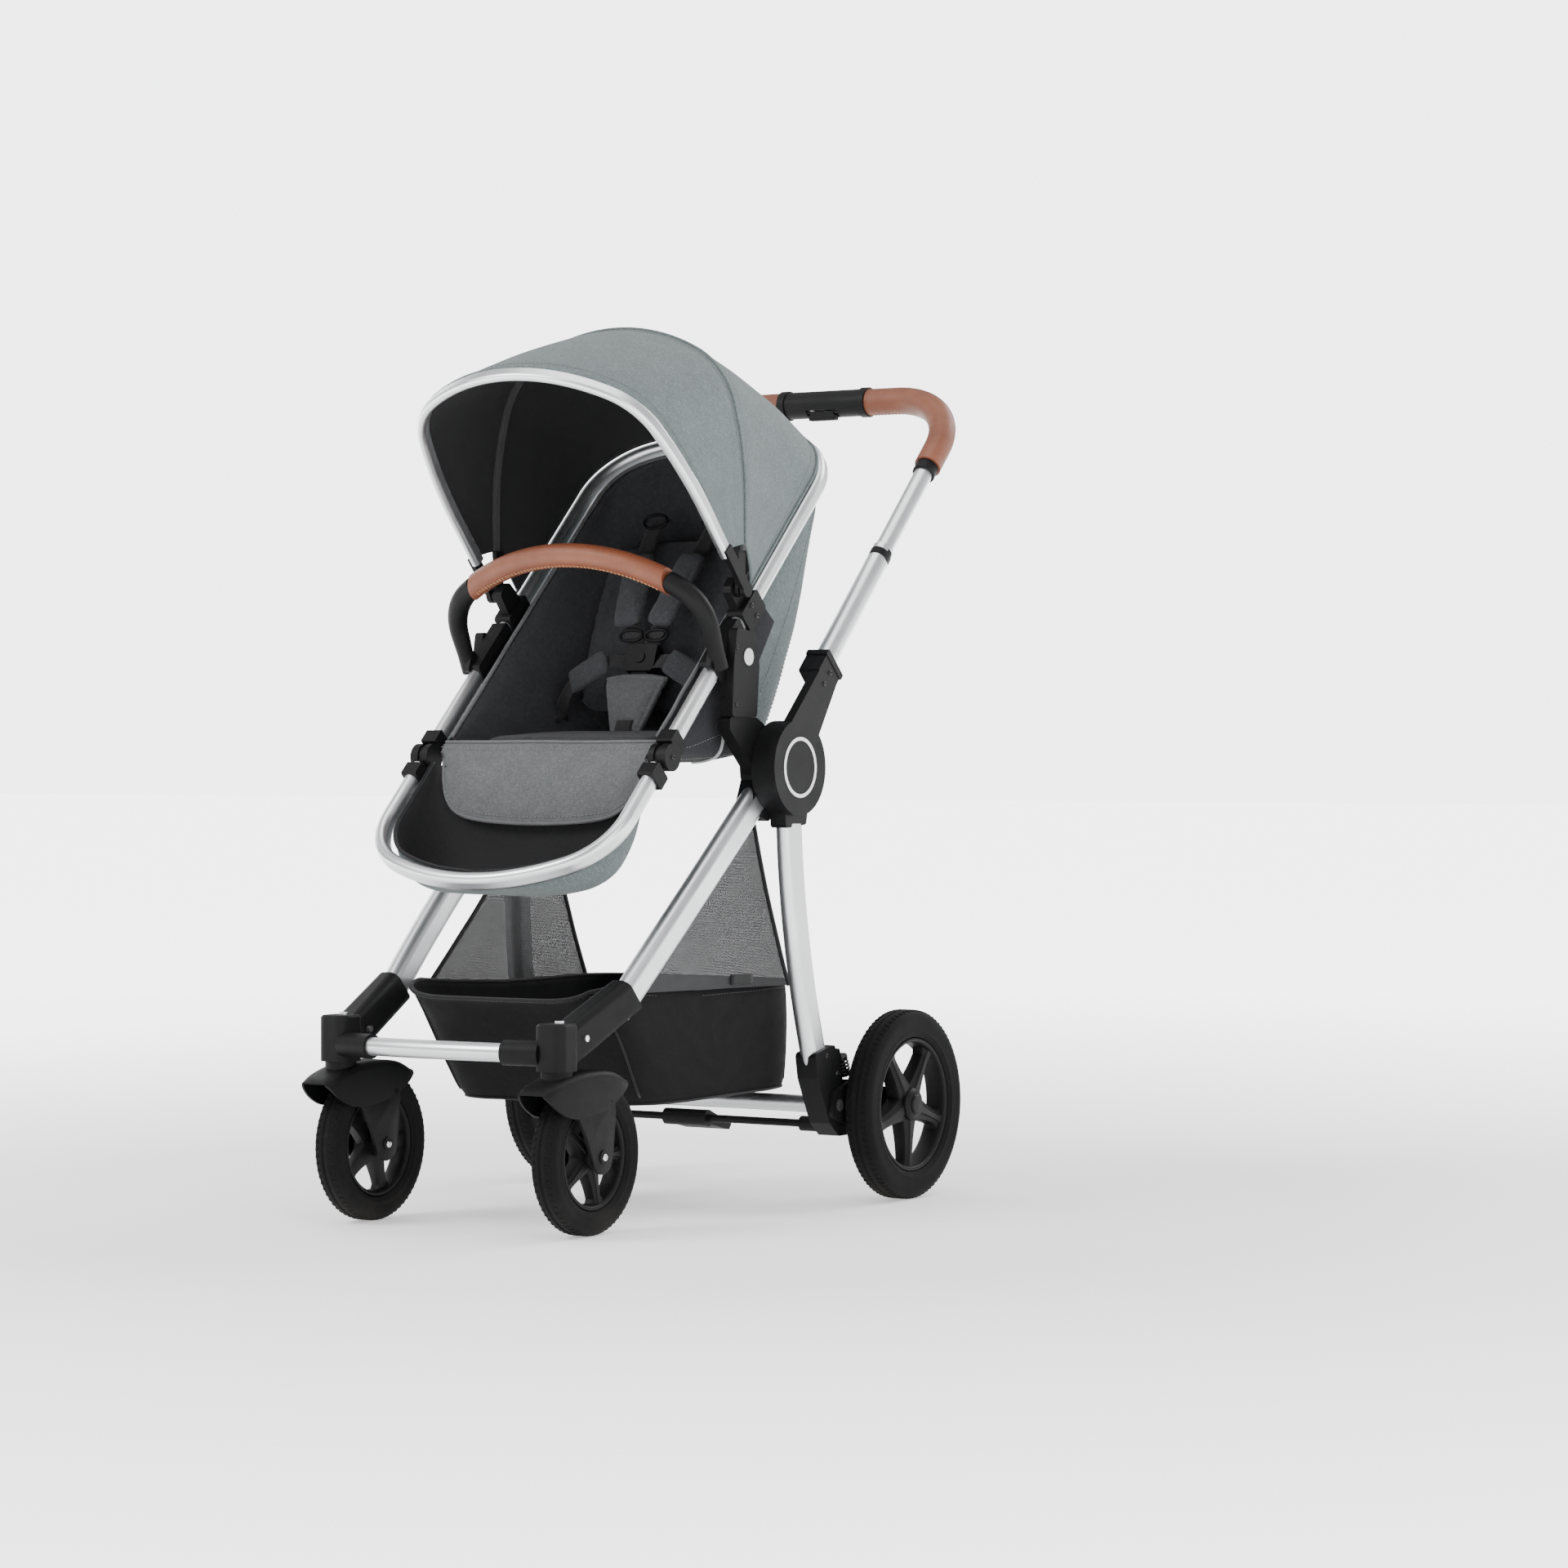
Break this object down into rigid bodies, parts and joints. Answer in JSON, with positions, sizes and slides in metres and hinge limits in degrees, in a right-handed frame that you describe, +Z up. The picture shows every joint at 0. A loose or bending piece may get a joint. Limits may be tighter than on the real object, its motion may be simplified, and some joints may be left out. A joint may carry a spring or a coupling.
{
  "type": "baby stroller",
  "caption": "Folding four-wheel baby stroller with a reclining canopy seat, bumper bar, push handle, swivel front wheels and storage basket.",
  "frame": {"origin": "on the floor, under the middle of the overall box", "axes": "+Z up, -Y the way the child faces and the stroller rolls, +X the left of the person pushing"},
  "size_m": [0.591, 0.9612, 1.1413],
  "materials": {
    "satin_aluminium": "satin anodised",
    "black_plastic": "fine matte texture",
    "steel": "bright",
    "ring_white": "satin",
    "tyre_rubber": "matte",
    "rim_plastic": "matte",
    "tan_leather": "stitched, satin",
    "grey_fabric": "heathered weave",
    "dark_fabric": "heathered weave",
    "black_fabric": "plain weave",
    "mesh_fabric": "open mesh",
    "spring_steel": "black"
  },
  "bodies": {
    "chassis": {"front_leg_left": "satin_aluminium", "front_leg_right": "satin_aluminium", "pivot_core_left": "black_plastic", "pivot_core_right": "black_plastic", "front_hub_left": "black_plastic", "front_hub_right": "black_plastic", "front_crossbar": "satin_aluminium", "frame_pins": "steel", "seat_adaptors": "black_plastic", "basket": "black_fabric", "basket_sides": "mesh_fabric"},
    "rear_frame": {"rear_leg_left": "satin_aluminium", "rear_leg_right": "satin_aluminium", "rear_joints": "black_plastic", "rear_brackets": "black_plastic", "rear_axle": "satin_aluminium", "spring_stacks": "spring_steel"},
    "rear_arm_left": {"rear_arm_left": "black_plastic"},
    "rear_arm_right": {"rear_arm_right": "black_plastic"},
    "rear_wheel_left": {"rear_tyre_left": "tyre_rubber", "rear_rim_left": "rim_plastic"},
    "rear_wheel_right": {"rear_tyre_right": "tyre_rubber", "rear_rim_right": "rim_plastic"},
    "brake": {"brake_pedal": "black_plastic"},
    "handle_lower": {"handle_disc_left": "black_plastic", "handle_disc_right": "black_plastic", "disc_rings": "ring_white", "handle_tubes": "satin_aluminium", "handle_clamps": "black_plastic"},
    "handle_upper": {"handle_bar": "satin_aluminium", "handle_grip_left": "tan_leather", "handle_grip_right": "tan_leather", "grip_collars": "black_plastic", "handle_centre": "black_plastic"},
    "fold_lever": {"fold_lever": "black_plastic"},
    "front_caster_left": {"front_fork_left": "black_plastic"},
    "front_caster_right": {"front_fork_right": "black_plastic"},
    "front_wheel_left": {"front_tyre_left": "tyre_rubber", "front_rim_left": "rim_plastic"},
    "front_wheel_right": {"front_tyre_right": "tyre_rubber", "front_rim_right": "rim_plastic"},
    "seat": {"seat_hoop": "satin_aluminium", "hoop_fittings": "black_plastic", "seat_shell": "grey_fabric", "seat_pad": "dark_fabric", "buckle": "black_plastic"},
    "seat_button_left": {"seat_button_left": "steel"},
    "seat_button_right": {"seat_button_right": "steel"},
    "buckle_button": {"buckle_button": "black_plastic"},
    "footrest": {"foot_hoop": "satin_aluminium", "foot_knees": "black_plastic", "foot_bucket": "grey_fabric"},
    "canopy_mid": {"mid_rib": "satin_aluminium", "mid_rib_ends": "black_plastic", "canopy_rear": "grey_fabric"},
    "canopy_front": {"front_hoop": "satin_aluminium", "front_hoop_ends": "black_plastic", "canopy_front": "grey_fabric"},
    "bumper": {"bumper_bar": "tan_leather", "bumper_arms": "black_plastic"}
  },
  "joints": [
    {"name": "handle_fold", "type": "hinge", "parent": "chassis", "child": "handle_lower", "pos_m": [0, 0.00594, 0.57], "axis": [1, 0, 0], "range_deg": [0, 150]},
    {"name": "rear_leg_fold", "type": "hinge", "parent": "chassis", "child": "rear_frame", "pos_m": [0, 0.00594, 0.57], "axis": [1, 0, 0], "range_deg": [-37.2, 0], "deforming": ["basket", "basket_sides"]},
    {"name": "handle_telescope", "type": "slide", "parent": "handle_lower", "child": "handle_upper", "axis": [0, 0.7034, 0.7108], "range_m": [-0.09, 0]},
    {"name": "fold_lever_squeeze", "type": "hinge", "parent": "handle_upper", "child": "fold_lever", "pos_m": [0, 0.44809, 1.06597], "axis": [1, 0, 0], "range_deg": [0, 6], "stiffness_Nm_per_rad": 0.5, "springref_deg": -2.86},
    {"name": "seat_recline", "type": "hinge", "parent": "chassis", "child": "seat", "pos_m": [0, -0.06506, 0.711], "axis": [1, 0, 0], "range_deg": [-30, 10]},
    {"name": "footrest_tilt", "type": "hinge", "parent": "seat", "child": "footrest", "pos_m": [0, -0.22506, 0.583], "axis": [1, 0, 0], "range_deg": [0, 30]},
    {"name": "canopy_mid_fold", "type": "hinge", "parent": "seat", "child": "canopy_mid", "pos_m": [0, -0.06006, 0.797], "axis": [1, 0, 0], "range_deg": [-32, 0], "deforming": ["canopy_rear"]},
    {"name": "canopy_front_fold", "type": "hinge", "parent": "canopy_mid", "child": "canopy_front", "pos_m": [0, -0.06006, 0.797], "axis": [1, 0, 0], "range_deg": [-22.2, 0], "deforming": ["canopy_front"]},
    {"name": "bumper_release", "type": "slide", "parent": "seat", "child": "bumper", "axis": [0, -0.4226, 0.9063], "range_m": [0, 0.03]},
    {"name": "buckle_press", "type": "slide", "parent": "seat", "child": "buckle_button", "axis": [0, 0.9336, -0.3584], "range_m": [0, 0.002], "stiffness_N_per_m": 400, "springref_m": -0.002},
    {"name": "brake_press", "type": "hinge", "parent": "rear_frame", "child": "brake", "pos_m": [0, 0.10594, 0.103], "axis": [1, 0, 0], "range_deg": [-18, 0]},
    {"name": "front_swivel_left", "type": "hinge", "parent": "chassis", "child": "front_caster_left", "pos_m": [0.165, -0.42806, 0.22], "axis": [0, 0, 1], "continuous": true},
    {"name": "front_roll_left", "type": "hinge", "parent": "front_caster_left", "child": "front_wheel_left", "pos_m": [0.165, -0.36756, 0.097], "axis": [1, 0, 0], "continuous": true},
    {"name": "suspension_left", "type": "hinge", "parent": "rear_frame", "child": "rear_arm_left", "pos_m": [0.248, 0.08594, 0.131], "axis": [1, 0, 0], "range_deg": [0, 4], "stiffness_Nm_per_rad": 80, "springref_deg": -8.02},
    {"name": "rear_roll_left", "type": "hinge", "parent": "rear_arm_left", "child": "rear_wheel_left", "pos_m": [0.273, 0.21144, 0.125], "axis": [1, 0, 0], "continuous": true},
    {"name": "seat_release_left", "type": "slide", "parent": "chassis", "child": "seat_button_left", "axis": [-1, 0, 0], "range_m": [0, 0.002], "stiffness_N_per_m": 500, "springref_m": -0.002},
    {"name": "front_swivel_right", "type": "hinge", "parent": "chassis", "child": "front_caster_right", "pos_m": [-0.165, -0.42806, 0.22], "axis": [0, 0, 1], "continuous": true},
    {"name": "front_roll_right", "type": "hinge", "parent": "front_caster_right", "child": "front_wheel_right", "pos_m": [-0.165, -0.36756, 0.097], "axis": [1, 0, 0], "continuous": true},
    {"name": "suspension_right", "type": "hinge", "parent": "rear_frame", "child": "rear_arm_right", "pos_m": [-0.248, 0.08594, 0.131], "axis": [1, 0, 0], "range_deg": [0, 4], "stiffness_Nm_per_rad": 80, "springref_deg": -8.02},
    {"name": "rear_roll_right", "type": "hinge", "parent": "rear_arm_right", "child": "rear_wheel_right", "pos_m": [-0.273, 0.21144, 0.125], "axis": [1, 0, 0], "continuous": true},
    {"name": "seat_release_right", "type": "slide", "parent": "chassis", "child": "seat_button_right", "axis": [1, 0, 0], "range_m": [0, 0.002], "stiffness_N_per_m": 500, "springref_m": -0.002}
  ],
  "couplings": [
    {"joint": "rear_leg_fold", "follows": "handle_fold", "ratio": -0.2475},
    {"joint": "canopy_front_fold", "follows": "canopy_mid_fold", "ratio": 0.69}
  ]
}
